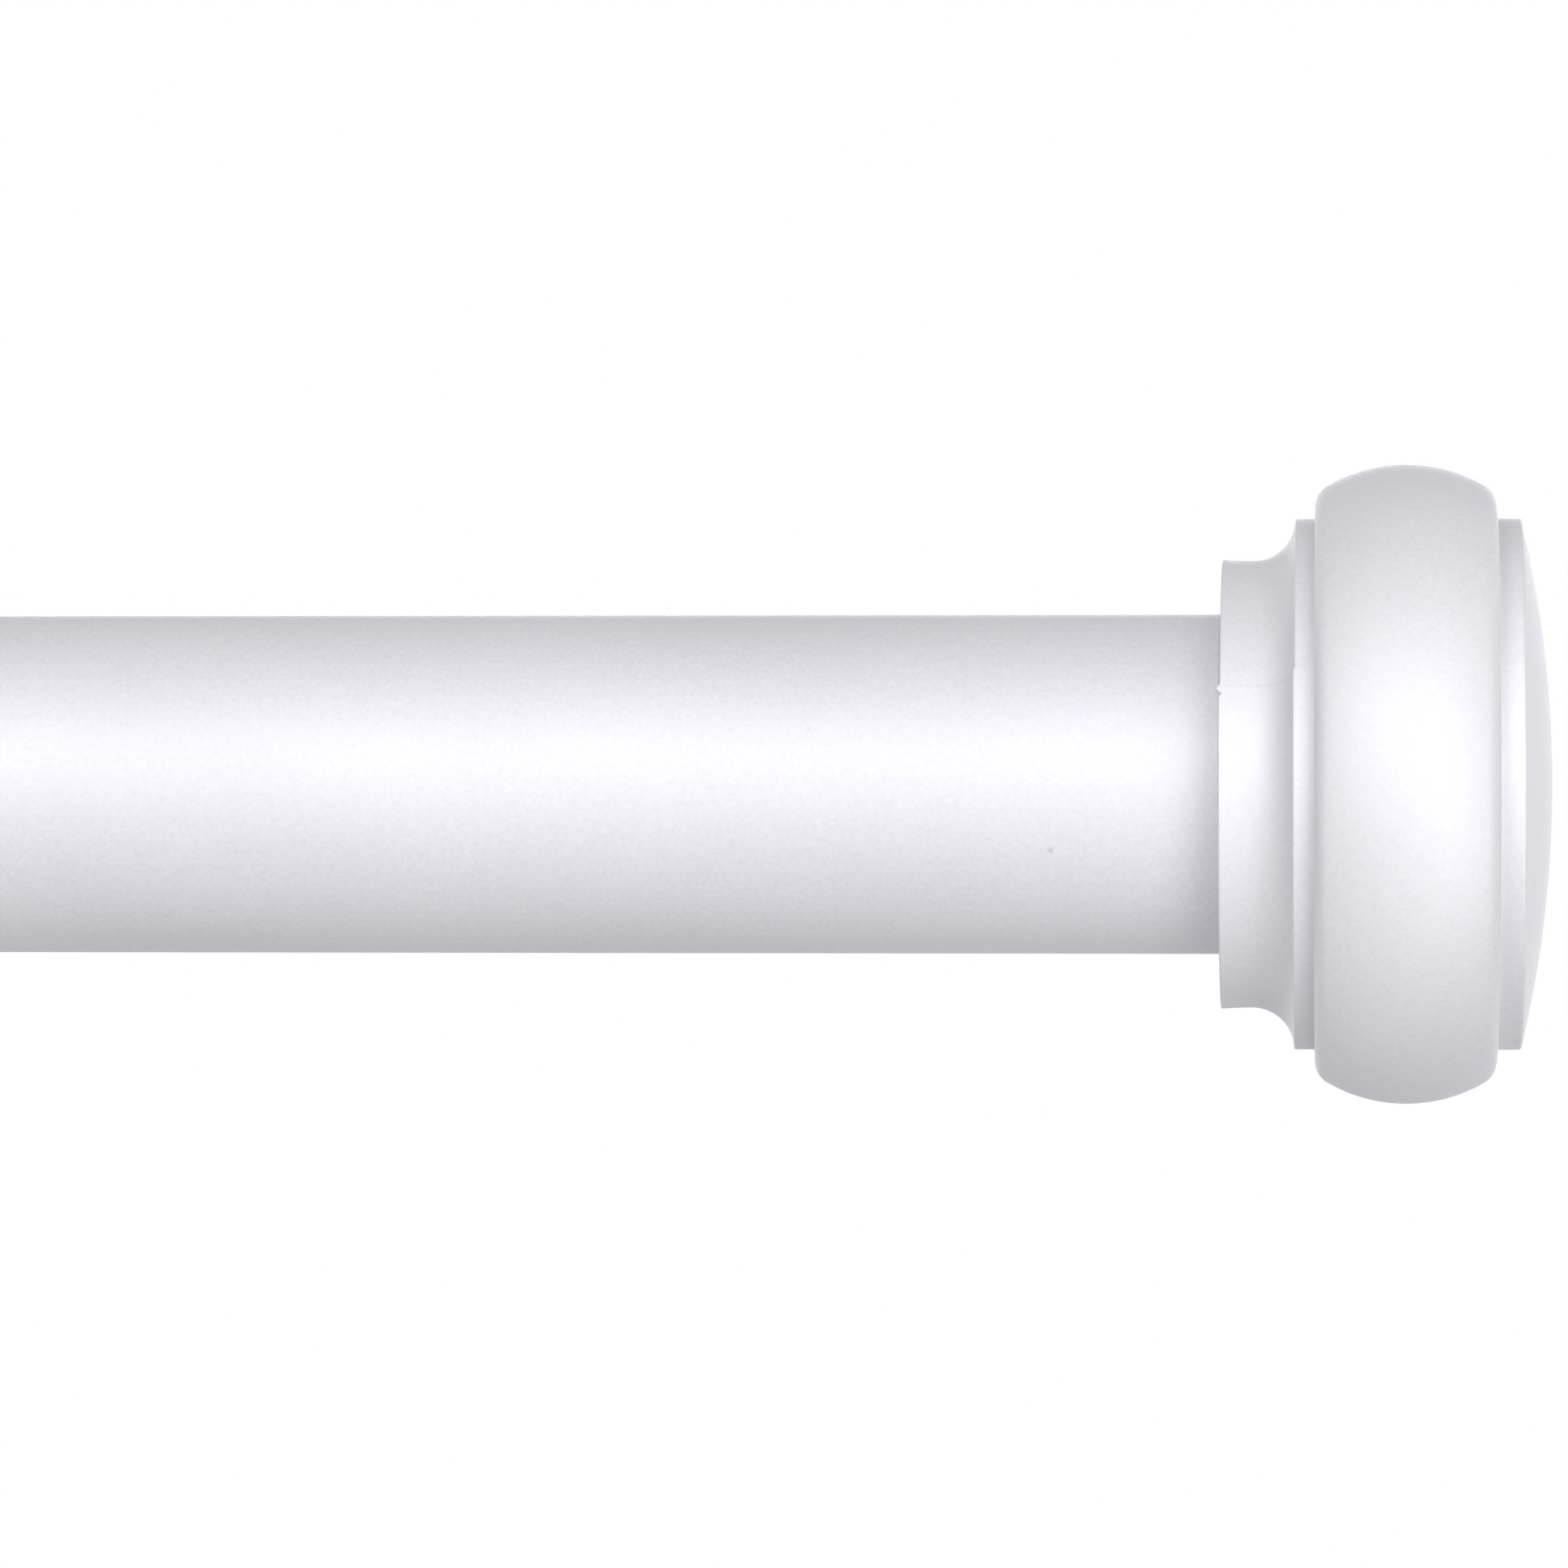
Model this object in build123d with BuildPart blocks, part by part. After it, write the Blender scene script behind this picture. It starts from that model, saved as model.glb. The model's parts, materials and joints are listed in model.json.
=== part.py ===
from build123d import *
import os

# Telescoping curtain rod with a moulded finial pushed into each end.
# X runs along the rod, Z is up, and the origin is the middle of the outer tube on its axis. Sizes in mm.

# Tubes: rolled steel, painted
tube_diameter = 25.4
tube_wall = 0.8
tube_edge_break = 0.2
outer_tube_length = 690.0
inner_tube_length = 640.0
inner_tube_shown = 150.0  # inner tube in view between the mouth bush and the left finial

# Fits, measured on the radius
press_gap = 0.05
slide_gap = 0.1

# Bush in the outer tube's mouth
bush_wall = 0.65
bush_length = 14.0
bush_flange = 1.2
bush_inset = 0.2  # flange's rim below the tube's surface
bush_edge_break = 0.3

# Glide plug in the inner tube's hidden end
glide_head_length = 6.0
glide_spigot_length = 12.0
glide_wall = 1.5
glide_lead = 0.8

# Finial head, each height measured outward from the surface before it
collar_step = 4.1  # collar rim above the outer tube
collar_waist = 0.1  # narrowing from the rim to the start of the cove
collar_land = 2.33
cove_radius = 3.12
front_ring_width = 1.54
rim_break = 0.1  # outer edges of the collar and both rings
bead_width = 13.52
bead_flank = 1.88
bead_crown = 2.16
bead_shoulder_round = 1.9
rear_ring_width = 1.8
dome_height = 2.35
head_wall = 3.0  # left between the moulding's core and the top of the dome

# Finial spigot
spigot_length = 14.0
spigot_wall = 1.6
spigot_lead = 0.8
rib_count = 8
rib_height = 0.4
rib_angle = 6.0
rib_lead = 2.0

# Radii that follow from the sizes above
tube_radius = tube_diameter / 2
bore_radius = tube_radius - tube_wall
inner_tube_radius = bore_radius - press_gap - bush_wall - slide_gap
inner_bore_radius = inner_tube_radius - tube_wall
collar_radius = tube_radius + collar_step
throat_radius = collar_radius - collar_waist
ring_radius = throat_radius + cove_radius
shoulder_radius = ring_radius + bead_flank
bead_radius = shoulder_radius + bead_crown

# Stations along a finial, measured outward from the collar's rim face
front_ring_at = collar_land + cove_radius
bead_at = front_ring_at + front_ring_width
rear_ring_at = bead_at + bead_width
dome_at = rear_ring_at + rear_ring_width
dome_top = dome_at + dome_height

# Stations along the rod
outer_right_end = outer_tube_length / 2
outer_mouth = -outer_tube_length / 2
inner_left_end = outer_mouth - bush_flange - inner_tube_shown
inner_right_end = inner_left_end + inner_tube_length

# Section planes: local x points out of the rod's end or along the rod, local y is the radius
right_section = Plane(origin=(outer_right_end, 0, 0), x_dir=(1, 0, 0), z_dir=(0, -1, 0))
left_section = Plane(origin=(inner_left_end, 0, 0), x_dir=(-1, 0, 0), z_dir=(0, 1, 0))
mouth_section = Plane(origin=(outer_mouth, 0, 0), x_dir=(-1, 0, 0), z_dir=(0, 1, 0))
glide_section = Plane(origin=(inner_right_end, 0, 0), x_dir=(1, 0, 0), z_dir=(0, -1, 0))
rod_section = Plane(origin=(0, 0, 0), x_dir=(1, 0, 0), z_dir=(0, -1, 0))


# Round tube between two stations, its four edges deburred
def make_tube(start, end, radius):
    with BuildPart() as tube:
        with BuildSketch(rod_section) as wall:
            with BuildLine():
                Polyline(
                    (start, radius - tube_wall),
                    (end, radius - tube_wall),
                    (end, radius),
                    (start, radius),
                    close=True,
                )
            make_face()
            chamfer(wall.vertices(), min(tube_edge_break, tube_wall / 3))
        revolve(axis=Axis.X)
    return tube.part


# Finial: head and cored spigot in one moulding, for a tube end with the bore given
def make_finial(section, tube_bore):
    rib_top = tube_bore - press_gap
    spigot_radius = rib_top - rib_height
    core_radius = spigot_radius - spigot_wall
    core_floor = dome_top - head_wall
    collar_rim = (0, collar_radius)
    cove_start = (collar_land, throat_radius)
    front_ring_edge = (front_ring_at, ring_radius)
    front_shoulder = (bead_at, shoulder_radius)
    bead_top = (bead_at + bead_width / 2, bead_radius)
    rear_shoulder = (rear_ring_at, shoulder_radius)
    rear_ring_edge = (dome_at, ring_radius)
    apex = (dome_top, 0)
    with BuildPart() as finial:
        # Head and hollow spigot
        with BuildSketch(section) as profile:
            with BuildLine():
                TangentArc(cove_start, collar_rim, tangent=(-1, 0))
                TangentArc(cove_start, front_ring_edge, tangent=(1, 0))
                Polyline(front_ring_edge, (bead_at, ring_radius), front_shoulder)
                ThreePointArc(front_shoulder, bead_top, rear_shoulder)
                Polyline(rear_shoulder, (rear_ring_at, ring_radius), rear_ring_edge)
                TangentArc(apex, rear_ring_edge, tangent=(0, 1))
                Polyline(
                    apex,
                    (core_floor, 0),
                    (core_floor, core_radius),
                    (-spigot_length, core_radius),
                    (-spigot_length, spigot_radius - spigot_lead / 2),
                    (spigot_lead - spigot_length, spigot_radius),
                    (0, spigot_radius),
                    collar_rim,
                )
            make_face()
            for rim in (collar_rim, front_ring_edge, rear_ring_edge):
                chamfer(profile.vertices().sort_by_distance(rim)[0], rim_break)
            for shoulder in (front_shoulder, rear_shoulder):
                fillet(profile.vertices().sort_by_distance(shoulder)[0], bead_shoulder_round)
        revolve(axis=Axis.X)

        # Crush ribs along the spigot, each tapered at its leading end
        for rib in range(rib_count):
            turn = rib * 360 / rib_count
            with BuildSketch(section.rotated((turn, 0, 0))):
                with BuildLine():
                    Polyline(
                        (0, spigot_radius - spigot_wall / 2),
                        (spigot_lead - spigot_length, spigot_radius - spigot_wall / 2),
                        (spigot_lead - spigot_length, spigot_radius),
                        (spigot_lead + rib_lead - spigot_length, rib_top),
                        (0, rib_top),
                        close=True,
                    )
                make_face()
            revolve(axis=Axis.X, revolution_arc=rib_angle)
    return finial.part


os.makedirs("parts", exist_ok=True)

# Outer tube
with BuildPart() as outer_tube:
    add(make_tube(outer_mouth, outer_right_end, tube_radius))
outer_tube.part.label = "outer_tube"
export_step(outer_tube.part, "parts/outer_tube.step")

# Inner tube
with BuildPart() as inner_tube:
    add(make_tube(inner_left_end, inner_right_end, inner_tube_radius))
inner_tube.part.label = "inner_tube"
export_step(inner_tube.part, "parts/inner_tube.step")

# Finial in the outer tube's end, the one in the picture
with BuildPart() as right_finial:
    add(make_finial(right_section, bore_radius))
right_finial.part.label = "right_finial"
export_step(right_finial.part, "parts/right_finial.step")

# Finial in the inner tube's end
with BuildPart() as left_finial:
    add(make_finial(left_section, inner_bore_radius))
left_finial.part.label = "left_finial"
export_step(left_finial.part, "parts/left_finial.step")

# Mouth bush: thin sleeve pressed into the outer tube, flange against its end
with BuildPart() as mouth_bush:
    with BuildSketch(mouth_section) as bush_wall_profile:
        with BuildLine():
            Polyline(
                (-bush_length, inner_tube_radius + slide_gap),
                (bush_flange, inner_tube_radius + slide_gap),
                (bush_flange, tube_radius - bush_inset),
                (0, tube_radius - bush_inset),
                (0, bore_radius - press_gap),
                (-bush_length, bore_radius - press_gap),
                close=True,
            )
        make_face()
        rims = bush_wall_profile.vertices().group_by(Axis.X)[-1]
        chamfer(rims, min(bush_edge_break, bush_flange / 3))
    revolve(axis=Axis.X)
mouth_bush.part.label = "mouth_bush"
export_step(mouth_bush.part, "parts/mouth_bush.step")

# Glide plug: head that rides in the outer tube's bore, hollow spigot in the inner tube
with BuildPart() as glide_plug:
    with BuildSketch(glide_section) as glide_profile:
        glide_radius = bore_radius - slide_gap
        glide_spigot_radius = inner_bore_radius - press_gap
        glide_core_radius = glide_spigot_radius - glide_wall
        with BuildLine():
            Polyline(
                (glide_head_length, 0),
                (glide_head_length - glide_wall, 0),
                (glide_head_length - glide_wall, glide_core_radius),
                (-glide_spigot_length, glide_core_radius),
                (-glide_spigot_length, glide_spigot_radius - glide_lead / 2),
                (glide_lead - glide_spigot_length, glide_spigot_radius),
                (0, glide_spigot_radius),
                (0, glide_radius - glide_lead / 2),
                (glide_lead / 2, glide_radius),
                (glide_head_length - glide_lead, glide_radius),
                (glide_head_length, glide_radius - glide_lead),
                close=True,
            )
        make_face()
    revolve(axis=Axis.X)
glide_plug.part.label = "glide_plug"
export_step(glide_plug.part, "parts/glide_plug.step")
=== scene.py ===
import json
from math import asin, atan2, cos, pi, radians, sin

import bmesh
import bpy
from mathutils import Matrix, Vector


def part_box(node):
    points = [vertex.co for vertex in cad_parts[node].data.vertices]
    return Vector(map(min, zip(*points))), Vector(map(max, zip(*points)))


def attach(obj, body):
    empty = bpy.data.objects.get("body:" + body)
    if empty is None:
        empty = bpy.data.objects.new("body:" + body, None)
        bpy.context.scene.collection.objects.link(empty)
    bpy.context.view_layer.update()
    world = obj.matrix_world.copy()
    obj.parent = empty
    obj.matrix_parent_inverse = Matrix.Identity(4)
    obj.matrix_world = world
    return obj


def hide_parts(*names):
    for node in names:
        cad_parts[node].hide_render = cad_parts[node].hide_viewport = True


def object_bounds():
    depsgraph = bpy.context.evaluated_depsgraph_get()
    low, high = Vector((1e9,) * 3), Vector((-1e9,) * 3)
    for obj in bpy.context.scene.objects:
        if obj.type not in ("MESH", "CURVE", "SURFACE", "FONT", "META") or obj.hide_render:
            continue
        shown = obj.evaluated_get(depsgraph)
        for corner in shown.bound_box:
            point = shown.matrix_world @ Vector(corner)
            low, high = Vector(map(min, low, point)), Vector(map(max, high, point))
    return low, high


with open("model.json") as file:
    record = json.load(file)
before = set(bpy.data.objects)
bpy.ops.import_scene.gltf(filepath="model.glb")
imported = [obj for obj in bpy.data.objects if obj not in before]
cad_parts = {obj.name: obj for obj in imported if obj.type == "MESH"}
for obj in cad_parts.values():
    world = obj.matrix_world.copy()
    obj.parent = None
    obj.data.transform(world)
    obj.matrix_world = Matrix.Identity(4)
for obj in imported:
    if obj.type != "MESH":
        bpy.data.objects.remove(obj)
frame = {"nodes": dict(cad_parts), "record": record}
cad_low, cad_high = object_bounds()

# Sizes are in millimetres, and become metres where a mesh, a speck, the floor or the camera is made
MM = 0.001

# Photograph: its width in pixels, and where the rod's landmarks are in it
PHOTO_SIZE = 1932
PHOTO_AXIS_ROW = 966.3
PHOTO_COLLAR_COLUMN = 1504.0
PHOTO_PIXELS_PER_MM = 16.4

# Camera: a long lens level with the rod, a little to the right of the frame's middle
CAMERA_DISTANCE = 600.0
CAMERA_AZIMUTH = radians(4.0)
CAMERA_NEAR = 10.0
SENSOR_WIDTH = 36.0

# Tubes
TUBE_RADIUS = frame["record"]["mounts"][0]["dims"]["r_mm"]
TUBE_WALL = 0.8
TUBE_EDGE_ROUND = 0.1
TUBE_SEGMENTS = 144
PRESS_GAP = 0.05
SLIDE_GAP = 0.1
BUSH_WALL = 0.65
BORE_RADIUS = TUBE_RADIUS - TUBE_WALL
INNER_TUBE_RADIUS = BORE_RADIUS - PRESS_GAP - BUSH_WALL - SLIDE_GAP
INNER_BORE_RADIUS = INNER_TUBE_RADIUS - TUBE_WALL

# Finial head: radii, each height measured outward from the surface before it
COLLAR_STEP = 4.1
COLLAR_WAIST = 0.1
COVE_RADIUS = 3.12
BEAD_FLANK = 1.88
BEAD_CROWN = 2.16
COLLAR_RADIUS = TUBE_RADIUS + COLLAR_STEP
THROAT_RADIUS = COLLAR_RADIUS - COLLAR_WAIST
RING_RADIUS = THROAT_RADIUS + COVE_RADIUS
SHOULDER_RADIUS = RING_RADIUS + BEAD_FLANK
BEAD_RADIUS = SHOULDER_RADIUS + BEAD_CROWN

# Finial head: stations measured outward from the collar's rim face
COLLAR_LAND = 2.33
FRONT_RING_WIDTH = 1.54
BEAD_WIDTH = 13.52
REAR_RING_WIDTH = 1.8
DOME_HEIGHT = 2.35
HEAD_WALL = 3.0
FRONT_RING_AT = COLLAR_LAND + COVE_RADIUS
BEAD_AT = FRONT_RING_AT + FRONT_RING_WIDTH
REAR_RING_AT = BEAD_AT + BEAD_WIDTH
DOME_AT = REAR_RING_AT + REAR_RING_WIDTH
DOME_TOP = DOME_AT + DOME_HEIGHT

# Finial edges
RIM_ROUND = 0.18
REAR_RIM_ROUND = 0.28
ROOT_ROUND = 0.05
SHOULDER_ROUND = 1.9

# Finial spigot and its ribs
SPIGOT_LENGTH = 14.0
SPIGOT_WALL = 1.6
SPIGOT_LEAD = 0.8
RIB_COUNT = 8
RIB_HEIGHT = 0.4
RIB_ANGLE = radians(6.0)
RIB_SIDE = radians(0.3)
RIB_LEAD = 2.0

# Mould parting line: a faint ridge, one half set along the axis, a nub of flash and a notch on the rim
SEAM_HEIGHT = 0.015
SEAM_HALF_WIDTH = 0.16
SEAM_SHIFT = 0.1
NUB_LENGTH = 0.24
NUB_HALF_WIDTH = 0.4
NOTCH_LENGTH = 0.26
NOTCH_AT = -0.48
NOTCH_HALF_WIDTH = 0.2
RIM_DEPTH = 0.6
RIGHT_SEAM = radians(25.0)
LEFT_SEAM = radians(60.0)

# Fineness of the meshes
FINIAL_SEGMENTS = 160
SEAM_FIRST_COLUMN = -0.72
SEAM_COLUMN_STEP = 0.08
SEAM_COLUMN_COUNT = 15
COLUMN_GAP = radians(0.35)
ROUND_STEPS = 5
ROUND_HOLD = 0.03
SHOULDER_STEPS = 8
CROWN_STEPS = 24
DOME_STEPS = 16
COVE_STEPS = 18
LAND_STEPS = 5
SHARP_ANGLE = radians(35.0)
TINY = 1e-6

# Paint and plastic: two tints, share of metal, roughness, and the scales of the grain and the orange peel
TUBE_SHADE = (0.707, 0.699, 0.744, 1.0)
TUBE_LIGHT = (0.793, 0.786, 0.83, 1.0)
FINIAL_SHADE = (0.727, 0.719, 0.759, 1.0)
FINIAL_LIGHT = (0.799, 0.791, 0.83, 1.0)
PAINT_METAL = 0.3
PAINT_ROUGHNESS = 0.64
PAINT_GRAIN = 2800.0
PAINT_PEEL = 420.0
PLASTIC_SHADE = (0.74, 0.74, 0.76, 1.0)
PLASTIC_LIGHT = (0.77, 0.77, 0.79, 1.0)
PLASTIC_METAL = 0.0
PLASTIC_ROUGHNESS = 0.5
PLASTIC_GRAIN = 1800.0
PLASTIC_PEEL = 300.0

# What the finishes share: bump depths are in metres
CLOUD_SCALE = 45.0
CLOUD_DETAIL = 3.0
GRAIN_DETAIL = 2.0
GRAIN_SHARE = 0.65
GRAIN_BUMP = 0.3
GRAIN_DEPTH = 0.00001
PEEL_DETAIL = 1.0
PEEL_BUMP = 0.25
PEEL_DEPTH = 0.00002
ROUGHNESS_SPREAD = 0.05
RAMP_LOW = 0.3
RAMP_HIGH = 0.7
COAT_IOR = 1.5

# Stage: a pale floor well below the rod that fades into the white surround
FLOOR_DROP = 300.0
FLOOR_HALF = 1450.0
FLOOR_GREY = 0.9
FLOOR_ROUGHNESS = 0.9
FLOOR_FADE = 0.35
FLOOR_GLOW = 0.45
AMBIENT = 0.13


# Points of an arc in a profile, which is a list of (station, radius)
def arc(centre, radius, start, end, steps):
    turns = [start + (end - start) * step / steps for step in range(steps + 1)]
    return [(centre[0] + radius * cos(turn), centre[1] + radius * sin(turn)) for turn in turns]


# Profile with its corners rounded where a point has a third value, the rounding's radius
def rounded(path):
    points = []
    for index, entry in enumerate(path):
        corner = Vector(entry[:2])
        if len(entry) == 2:
            points.append(corner)
            continue
        before = (Vector(path[index - 1][:2]) - corner).normalized()
        after = (Vector(path[(index + 1) % len(path)][:2]) - corner).normalized()
        spread = before.dot(after)
        reach = entry[2] * ((1 + spread) / (1 - spread)) ** 0.5
        start = corner + before * reach
        end = corner + after * reach
        points.append(start + before * ROUND_HOLD)
        for step in range(ROUND_STEPS + 1):
            t = step / ROUND_STEPS
            points.append(start * (1 - t) ** 2 + corner * 2 * t * (1 - t) + end * t ** 2)
        points.append(end + after * ROUND_HOLD)
    return points


# Mesh over a row of rings: a ring is one circle of points about the rod's axis, or a single point on it
def skin_rings(name, rings, closed):
    mesh = bpy.data.meshes.new(name)
    shape = bmesh.new()
    made = [[shape.verts.new(point) for point in ring] for ring in rings]
    pairs = list(zip(made, made[1:]))
    if closed:
        pairs.append((made[-1], made[0]))
    for one, other in pairs:
        count = max(len(one), len(other))
        for column in range(count):
            corners = []
            for ring, step in ((one, 0), (one, 1), (other, 1), (other, 0)):
                vert = ring[(column + step) % len(ring)]
                if vert not in corners:
                    corners.append(vert)
            shape.faces.new(corners)
    bmesh.ops.recalc_face_normals(shape, faces=shape.faces)
    for face in shape.faces:
        face.smooth = True
    shape.to_mesh(mesh)
    shape.free()
    mesh.set_sharp_from_angle(angle=SHARP_ANGLE)
    piece = bpy.data.objects.new(name, mesh)
    bpy.context.scene.collection.objects.link(piece)
    return piece


# Point in metres, given along the rod, out from its axis and round it from the side that faces the camera
def on_axis(x, radius, turn):
    return (x * MM, -radius * cos(turn) * MM, radius * sin(turn) * MM)


# Tube: both walls and rounded ends
def make_tube(name, node, radius):
    low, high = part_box(node)
    start = low.x / MM
    end = high.x / MM
    bore = radius - TUBE_WALL
    path = [
        (start, bore, TUBE_EDGE_ROUND),
        (end, bore, TUBE_EDGE_ROUND),
        (end, radius, TUBE_EDGE_ROUND),
        (start, radius, TUBE_EDGE_ROUND),
    ]
    turns = [2 * pi * column / TUBE_SEGMENTS for column in range(TUBE_SEGMENTS)]
    rings = [[on_axis(x, r, turn) for turn in turns] for x, r in rounded(path)]
    piece = skin_rings(name, rings, closed=True)
    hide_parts(node)
    return piece


# Bead across the finial's widest part, from its rear flank over the crown to its front flank
def bead_profile():
    reach = BEAD_WIDTH / 2
    middle = BEAD_AT + reach
    crown_radius = (reach ** 2 + BEAD_CROWN ** 2) / (2 * BEAD_CROWN)
    crown_centre = BEAD_RADIUS - crown_radius
    across = reach - SHOULDER_ROUND
    up = ((crown_radius - SHOULDER_ROUND) ** 2 - across ** 2) ** 0.5
    lean = atan2(up, across)
    rear = arc((middle + across, crown_centre + up), SHOULDER_ROUND, 0, lean, SHOULDER_STEPS)
    crown = arc((middle, crown_centre), crown_radius, lean, pi - lean, CROWN_STEPS)
    front = arc((middle - across, crown_centre + up), SHOULDER_ROUND, pi - lean, pi, SHOULDER_STEPS)
    return rear + crown[1:-1] + front


# Finial: head, rim face, spigot and the hollow left by the moulding's core, from the dome's top inward
def finial_profile(spigot_radius):
    core_radius = spigot_radius - SPIGOT_WALL
    core_floor = DOME_TOP - HEAD_WALL
    dome_curve = (RING_RADIUS ** 2 + DOME_HEIGHT ** 2) / (2 * DOME_HEIGHT)
    dome = arc((DOME_TOP - dome_curve, 0), dome_curve, 0, asin(RING_RADIUS / dome_curve), DOME_STEPS)
    cove = arc((COLLAR_LAND, RING_RADIUS), COVE_RADIUS, 0, -pi / 2, COVE_STEPS)
    flare = (COLLAR_RADIUS - THROAT_RADIUS) / COLLAR_LAND ** 2
    land = [COLLAR_LAND * step / LAND_STEPS for step in range(LAND_STEPS - 1, 0, -1)]
    path = dome[:-1] + [
        (DOME_AT, RING_RADIUS, REAR_RIM_ROUND),
        (REAR_RING_AT, RING_RADIUS, ROOT_ROUND),
    ]
    path += bead_profile() + [
        (BEAD_AT, RING_RADIUS, ROOT_ROUND),
        (FRONT_RING_AT, RING_RADIUS, RIM_ROUND),
    ]
    path += cove[1:] + [(x, THROAT_RADIUS + flare * (COLLAR_LAND - x) ** 2) for x in land]
    path += [
        (0, COLLAR_RADIUS, RIM_ROUND),
        (0, TUBE_RADIUS),
        (0, spigot_radius),
        (SPIGOT_LEAD + RIB_LEAD - SPIGOT_LENGTH, spigot_radius),
        (SPIGOT_LEAD - SPIGOT_LENGTH, spigot_radius),
        (-SPIGOT_LENGTH, spigot_radius - SPIGOT_LEAD / 2),
        (-SPIGOT_LENGTH, core_radius),
        (core_floor, core_radius),
        (core_floor, 0),
    ]
    return rounded(path)


# Turn between minus and plus half a circle
def wrapped(turn):
    return (turn + pi) % (2 * pi) - pi


def clamped(value):
    return min(1.0, max(0.0, value))


# Smooth step from 0 to 1
def eased(value):
    t = clamped(value)
    return t * t * (3 - 2 * t)


# Columns of the finial's mesh: even all round, with extra ones along the ribs and the parting line
def finial_turns(seam):
    extra = []
    for rib in range(RIB_COUNT):
        end = rib * 2 * pi / RIB_COUNT
        extra += [end - RIB_ANGLE - RIB_SIDE, end - RIB_ANGLE, end, end + RIB_SIDE]
    for side in (seam, seam + pi):
        for column in range(SEAM_COLUMN_COUNT):
            offset = SEAM_FIRST_COLUMN + column * SEAM_COLUMN_STEP
            extra.append(side + offset / COLLAR_RADIUS)
    even = [2 * pi * column / FINIAL_SEGMENTS for column in range(FINIAL_SEGMENTS)]
    kept = [turn for turn in even if all(abs(wrapped(turn - other)) > COLUMN_GAP for other in extra)]
    return sorted(turn % (2 * pi) for turn in kept + extra)


# Rib on the spigot: its height at a station and a turn
def rib_lift(station, turn):
    behind = (-turn) % (2 * pi / RIB_COUNT)
    on_rib = behind <= RIB_ANGLE + RIB_SIDE / 2
    rise = clamped((station + SPIGOT_LENGTH - SPIGOT_LEAD) / RIB_LEAD)
    return RIB_HEIGHT * rise if on_rib else 0.0


# Parting line: how far a point between the rim and the bead moves along the axis and outward
def seam_moves(station, radius, turn, seam):
    if station > BEAD_AT:
        return 0.0, 0.0
    from_near = wrapped(turn - seam) * radius
    from_far = wrapped(turn - seam - pi) * radius
    ridge = max(clamped(1 - abs(gap) / SEAM_HALF_WIDTH) for gap in (from_near, from_far))
    past_near = clamped(0.5 + from_near / (2 * SEAM_HALF_WIDTH))
    before_far = clamped(0.5 - from_far / (2 * SEAM_HALF_WIDTH))
    half = past_near * before_far
    rim = clamped(1 - station / RIM_DEPTH) * clamped((radius - COLLAR_RADIUS) / RIM_DEPTH + 1)
    nub = eased(1 - abs(from_near) / NUB_HALF_WIDTH) * NUB_LENGTH
    notch = eased(1 - abs(from_near - NOTCH_AT) / NOTCH_HALF_WIDTH) * NOTCH_LENGTH
    along = half * SEAM_SHIFT * clamped((radius - TUBE_RADIUS) / (COLLAR_RADIUS - TUBE_RADIUS))
    return along + rim * (notch - nub), ridge * SEAM_HEIGHT


# Finial on the tube's end given, its head pointing outward: 1 for the right end, -1 for the left
def make_finial(name, node, end, outward, tube_bore, seam):
    spigot_radius = tube_bore - PRESS_GAP - RIB_HEIGHT
    turns = finial_turns(seam)
    rings = []
    for station, radius in finial_profile(spigot_radius):
        if radius < TINY:
            rings.append([on_axis(end + outward * station, 0, 0)])
            continue
        ring = []
        for turn in turns:
            along, out = seam_moves(station, radius, turn, seam) if radius > TUBE_RADIUS else (0, 0)
            if station <= 0 and abs(radius - spigot_radius) < TINY:
                out = rib_lift(station, turn)
            ring.append(on_axis(end + outward * (station + along), radius + out, turn))
        rings.append(ring)
    piece = skin_rings(name, rings, closed=False)
    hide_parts(node)
    return piece


# Noise that stays with the piece
def noise(nodes, links, place, scale, detail):
    texture = nodes.new("ShaderNodeTexNoise")
    texture.inputs["Scale"].default_value = scale
    texture.inputs["Detail"].default_value = detail
    links.new(place.outputs["Object"], texture.inputs["Vector"])
    return texture


# Smooth range of values or tints driven by a noise value
def spread_of(nodes, links, value, low, high):
    ramp = nodes.new("ShaderNodeValToRGB")
    ramp.color_ramp.elements[0].position = RAMP_LOW
    ramp.color_ramp.elements[1].position = RAMP_HIGH
    ramp.color_ramp.elements[0].color = low
    ramp.color_ramp.elements[1].color = high
    links.new(value, ramp.inputs["Fac"])
    return ramp


def grey(value):
    return (value, value, value, 1.0)


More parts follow.
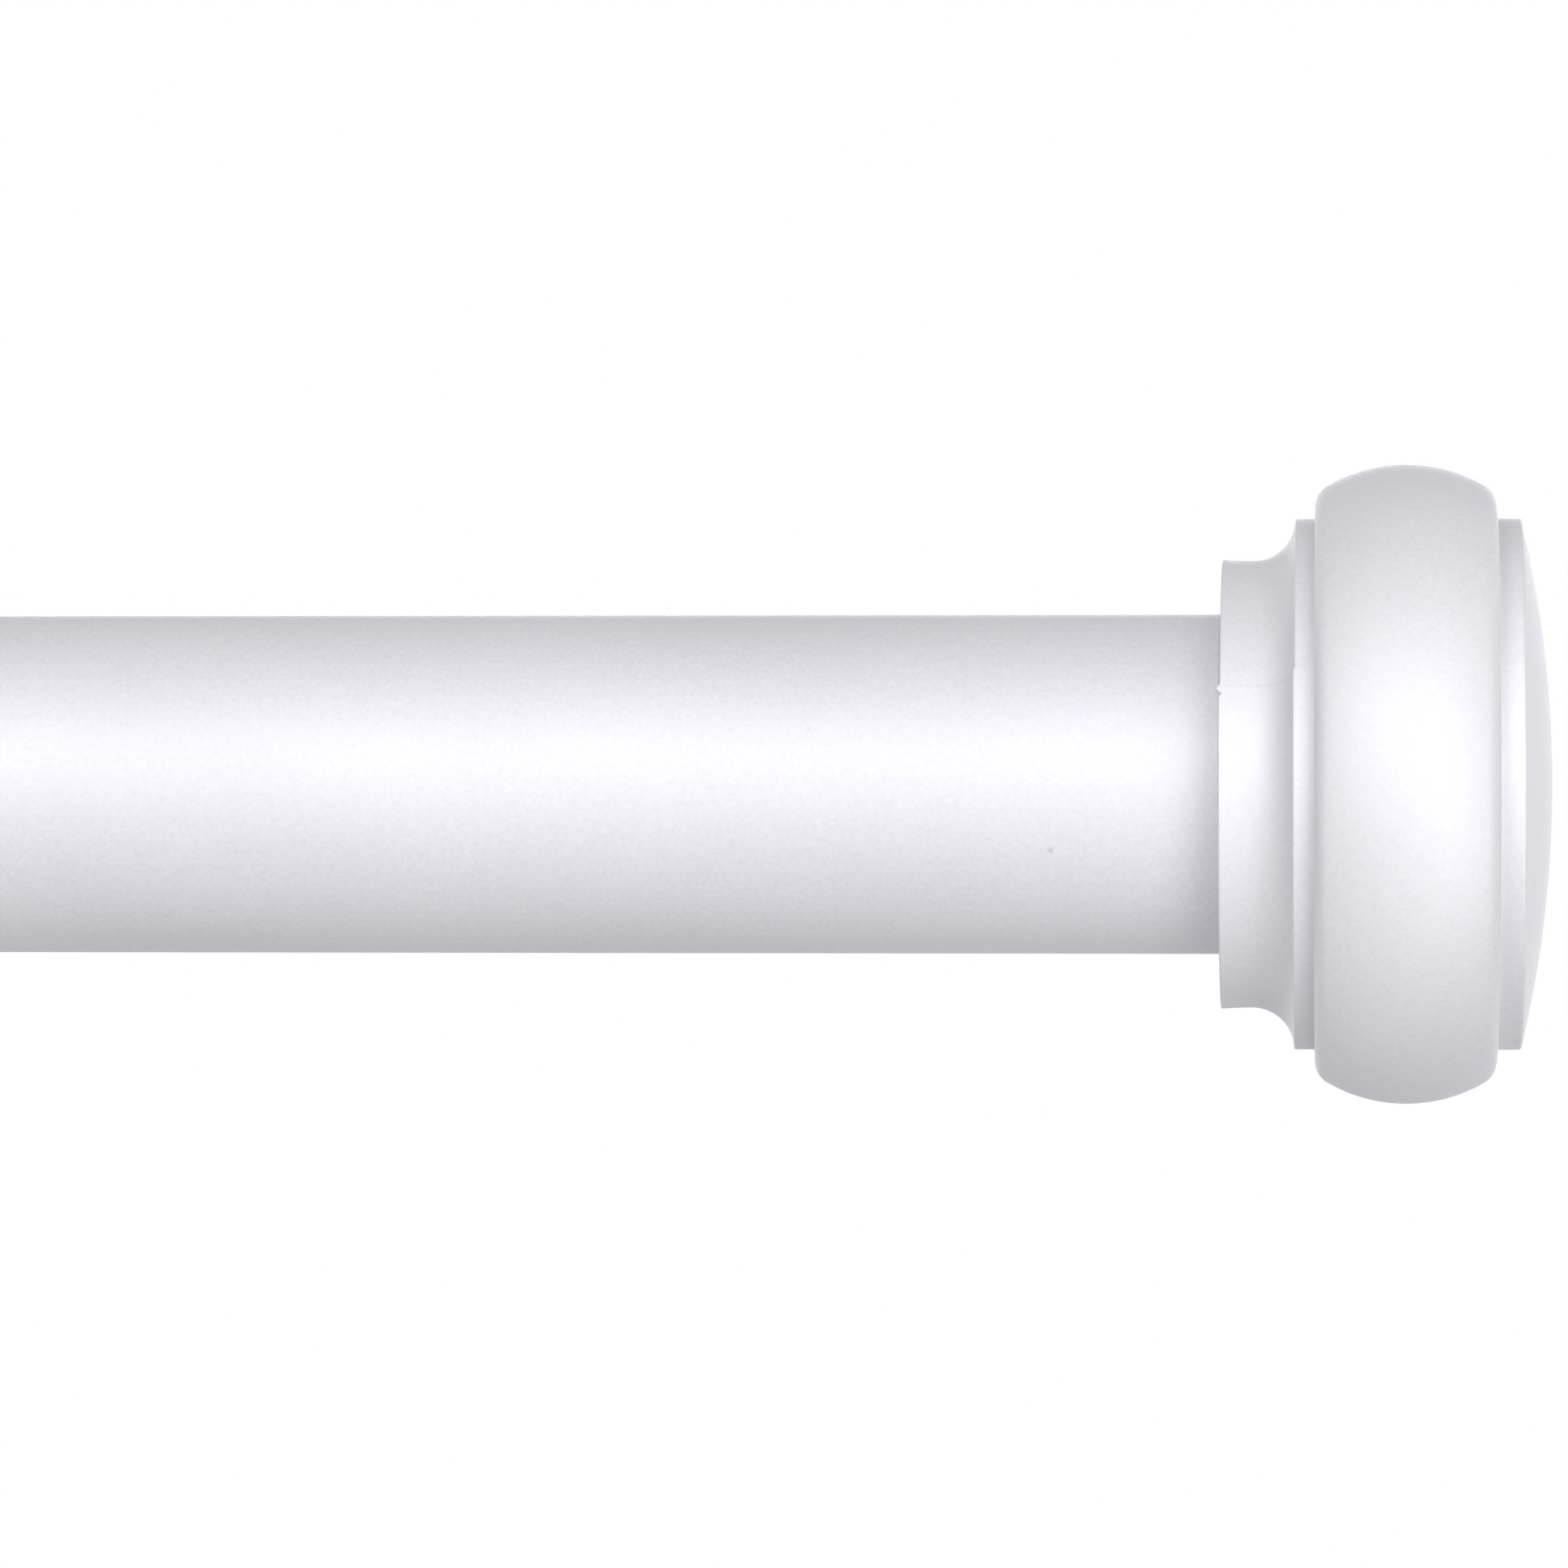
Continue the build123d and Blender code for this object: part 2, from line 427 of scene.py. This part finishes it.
# Sprayed satin paint, and the plastic: faint clouding, fine grain and a slight orange peel
def make_paint(name, shade, light, metal, roughness, grain, peel):
    material = bpy.data.materials.new(name)
    material.use_nodes = True
    nodes = material.node_tree.nodes
    links = material.node_tree.links
    surface = nodes["Principled BSDF"]
    place = nodes.new("ShaderNodeTexCoord")
    clouds = noise(nodes, links, place, CLOUD_SCALE, CLOUD_DETAIL)
    fine = noise(nodes, links, place, grain, GRAIN_DETAIL)
    ripple = noise(nodes, links, place, peel, PEEL_DETAIL)
    speckle = nodes.new("ShaderNodeMix")
    speckle.inputs["Factor"].default_value = GRAIN_SHARE
    links.new(clouds.outputs["Fac"], speckle.inputs["A"])
    links.new(fine.outputs["Fac"], speckle.inputs["B"])
    tint = spread_of(nodes, links, speckle.outputs["Result"], shade, light)
    smoother = grey(roughness - ROUGHNESS_SPREAD)
    rougher = grey(roughness + ROUGHNESS_SPREAD)
    gloss = spread_of(nodes, links, fine.outputs["Fac"], smoother, rougher)
    links.new(tint.outputs["Color"], surface.inputs["Base Color"])
    links.new(gloss.outputs["Color"], surface.inputs["Roughness"])
    wave = nodes.new("ShaderNodeBump")
    wave.inputs["Strength"].default_value = PEEL_BUMP
    wave.inputs["Distance"].default_value = PEEL_DEPTH
    links.new(ripple.outputs["Fac"], wave.inputs["Height"])
    speck = nodes.new("ShaderNodeBump")
    speck.inputs["Strength"].default_value = GRAIN_BUMP
    speck.inputs["Distance"].default_value = GRAIN_DEPTH
    links.new(fine.outputs["Fac"], speck.inputs["Height"])
    links.new(wave.outputs["Normal"], speck.inputs["Normal"])
    links.new(speck.outputs["Normal"], surface.inputs["Normal"])
    surface.inputs["Metallic"].default_value = metal
    surface.inputs["IOR"].default_value = COAT_IOR
    return material


# Speck of grit in the tube's paint, by its distance from the tube's right end and its turn in degrees
def add_speck(material, from_end, turn, reach, shade):
    nodes = material.node_tree.nodes
    links = material.node_tree.links
    base = nodes["Principled BSDF"].inputs["Base Color"]
    place = nodes.new("ShaderNodeTexCoord")
    gap = nodes.new("ShaderNodeVectorMath")
    gap.operation = "DISTANCE"
    gap.inputs[1].default_value = on_axis(outer_end - from_end, TUBE_RADIUS, radians(turn))
    links.new(place.outputs["Object"], gap.inputs[0])
    fade = nodes.new("ShaderNodeMapRange")
    fade.interpolation_type = "SMOOTHSTEP"
    fade.inputs["From Max"].default_value = reach * MM
    fade.inputs["To Min"].default_value = shade
    links.new(gap.outputs["Value"], fade.inputs["Value"])
    darker = nodes.new("ShaderNodeVectorMath")
    darker.operation = "SCALE"
    links.new(base.links[0].from_socket, darker.inputs[0])
    links.new(fade.outputs["Result"], darker.inputs["Scale"])
    links.new(darker.outputs["Vector"], base)


# Finish of a new piece and the body it rides on
def dress(piece, material, body):
    piece.data.materials.clear()
    piece.data.materials.append(material)
    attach(piece, body)


# 1 where the surroundings are seen, straight or in a gloss, and 0 where they only light the part
def seen_white(nodes, links):
    path = nodes.new("ShaderNodeLightPath")
    either = nodes.new("ShaderNodeMath")
    either.operation = "MAXIMUM"
    links.new(path.outputs["Is Camera Ray"], either.inputs[0])
    links.new(path.outputs["Is Glossy Ray"], either.inputs[1])
    any_seen = nodes.new("ShaderNodeMath")
    any_seen.operation = "MAXIMUM"
    links.new(either.outputs[0], any_seen.inputs[0])
    links.new(path.outputs["Is Transmission Ray"], any_seen.inputs[1])
    return any_seen


def make_floor():
    middle = (cad_low + cad_high) / 2
    mesh = bpy.data.meshes.new("floor")
    half = FLOOR_HALF * MM
    corners = [(-half, -half, 0), (half, -half, 0), (half, half, 0), (-half, half, 0)]
    mesh.from_pydata(corners, [], [(0, 1, 2, 3)])
    floor = bpy.data.objects.new("floor", mesh)
    floor.location = (middle.x, 0, -FLOOR_DROP * MM)
    bpy.context.scene.collection.objects.link(floor)
    material = bpy.data.materials.new("floor_white")
    material.use_nodes = True
    nodes = material.node_tree.nodes
    links = material.node_tree.links
    surface = nodes["Principled BSDF"]
    surface.inputs["Base Color"].default_value = grey(FLOOR_GREY)
    surface.inputs["Roughness"].default_value = FLOOR_ROUGHNESS
    place = nodes.new("ShaderNodeTexCoord")
    scale = nodes.new("ShaderNodeMapping")
    scale.inputs["Scale"].default_value = (1 / half, 1 / half, 1 / half)
    ball = nodes.new("ShaderNodeTexGradient")
    ball.gradient_type = "QUADRATIC_SPHERE"
    links.new(place.outputs["Object"], scale.inputs["Vector"])
    links.new(scale.outputs["Vector"], ball.inputs["Vector"])
    fade = nodes.new("ShaderNodeMapRange")
    fade.inputs["From Max"].default_value = FLOOR_FADE
    links.new(ball.outputs["Fac"], fade.inputs["Value"])
    links.new(fade.outputs["Result"], surface.inputs["Alpha"])
    glow = nodes.new("ShaderNodeMath")
    glow.operation = "MULTIPLY"
    glow.inputs[1].default_value = FLOOR_GLOW
    links.new(seen_white(nodes, links).outputs[0], glow.inputs[0])
    links.new(glow.outputs[0], surface.inputs["Emission Strength"])
    surface.inputs["Emission Color"].default_value = grey(1.0)
    mesh.materials.append(material)


# World: white where it is seen, and a weak even light on the part
def make_world():
    world = bpy.data.worlds.new("studio")
    bpy.context.scene.world = world
    world.use_nodes = True
    nodes = world.node_tree.nodes
    links = world.node_tree.links
    white = nodes["Background"]
    white.inputs["Color"].default_value = grey(1.0)
    seen = seen_white(nodes, links)
    level = nodes.new("ShaderNodeMapRange")
    level.inputs["To Min"].default_value = AMBIENT
    level.inputs["To Max"].default_value = 1.0
    links.new(seen.outputs[0], level.inputs["Value"])
    links.new(level.outputs["Result"], white.inputs["Strength"])


# Broad soft lamp: where it shines from and how wide it is, in degrees
def make_lamp(name, azimuth, height, width, strength):
    lamp = bpy.data.lights.new(name, "SUN")
    lamp.energy = strength
    lamp.angle = radians(width)
    holder = bpy.data.objects.new(name, lamp)
    holder.rotation_euler = (pi / 2 - radians(height), 0, radians(azimuth))
    bpy.context.scene.collection.objects.link(holder)


# Camera that puts the collar's rim and the rod's axis where the photograph has them
def make_camera():
    data = bpy.data.cameras.new("camera")
    camera = bpy.data.objects.new("camera", data)
    bpy.context.scene.collection.objects.link(camera)
    bpy.context.scene.camera = camera
    middle = PHOTO_SIZE / 2
    aim = Vector((
        outer_end - (PHOTO_COLLAR_COLUMN - middle) / PHOTO_PIXELS_PER_MM,
        0,
        (PHOTO_AXIS_ROW - middle) / PHOTO_PIXELS_PER_MM,
    ))
    back = Vector((sin(CAMERA_AZIMUTH), -cos(CAMERA_AZIMUTH), 0)) * CAMERA_DISTANCE
    camera.location = (aim + back) * MM
    camera.rotation_euler = (pi / 2, 0, CAMERA_AZIMUTH)
    data.sensor_width = SENSOR_WIDTH
    data.lens = SENSOR_WIDTH * CAMERA_DISTANCE * PHOTO_PIXELS_PER_MM / PHOTO_SIZE
    data.clip_start = CAMERA_NEAR * MM


# Materials
tube_paint = make_paint(
    "tube_paint",
    TUBE_SHADE,
    TUBE_LIGHT,
    PAINT_METAL,
    PAINT_ROUGHNESS,
    PAINT_GRAIN,
    PAINT_PEEL,
)
finial_paint = make_paint(
    "finial_paint",
    FINIAL_SHADE,
    FINIAL_LIGHT,
    PAINT_METAL,
    PAINT_ROUGHNESS,
    PAINT_GRAIN,
    PAINT_PEEL,
)
bush_plastic = make_paint(
    "bush_plastic",
    PLASTIC_SHADE,
    PLASTIC_LIGHT,
    PLASTIC_METAL,
    PLASTIC_ROUGHNESS,
    PLASTIC_GRAIN,
    PLASTIC_PEEL,
)

# Tubes and finials
outer_tube = make_tube("outer_tube_skin", "outer_tube", TUBE_RADIUS)
inner_tube = make_tube("inner_tube_skin", "inner_tube", INNER_TUBE_RADIUS)
outer_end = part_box("outer_tube")[1].x / MM
inner_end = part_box("inner_tube")[0].x / MM
right_finial = make_finial(
    "right_finial_moulding",
    "right_finial",
    outer_end,
    outward=1,
    tube_bore=BORE_RADIUS,
    seam=RIGHT_SEAM,
)
left_finial = make_finial(
    "left_finial_moulding",
    "left_finial",
    inner_end,
    outward=-1,
    tube_bore=INNER_BORE_RADIUS,
    seam=LEFT_SEAM,
)
dress(outer_tube, tube_paint, "outer")
dress(inner_tube, tube_paint, "inner")
dress(right_finial, finial_paint, "right_cap")
dress(left_finial, finial_paint, "left_cap")

# Specks on the outer tube that the photograph shows
add_speck(tube_paint, from_end=12.35, turn=-22.5, reach=0.36, shade=0.78)
add_speck(tube_paint, from_end=30.1, turn=18.7, reach=0.34, shade=0.9)
add_speck(tube_paint, from_end=35.9, turn=18.7, reach=0.26, shade=0.93)

# Plastic pieces that keep their solids' shape
for node in ("mouth_bush", "glide_plug"):
    frame["nodes"][node].data.materials.clear()
    frame["nodes"][node].data.materials.append(bush_plastic)

# Stage, lamps and camera
make_floor()
make_world()
make_lamp("key_left", azimuth=-30.0, height=20.0, width=32.0, strength=1.17)
make_lamp("key_right", azimuth=22.0, height=20.0, width=40.0, strength=1.17)
make_lamp("fill_low", azimuth=36.0, height=-24.0, width=45.0, strength=1.37)
make_lamp("back_right", azimuth=135.0, height=5.0, width=40.0, strength=0.4)
make_lamp("back_left", azimuth=-135.0, height=5.0, width=40.0, strength=0.3)
make_lamp("fill_back", azimuth=180.0, height=5.0, width=25.0, strength=1.15)
make_camera()
bpy.context.scene.view_settings.view_transform = "Standard"
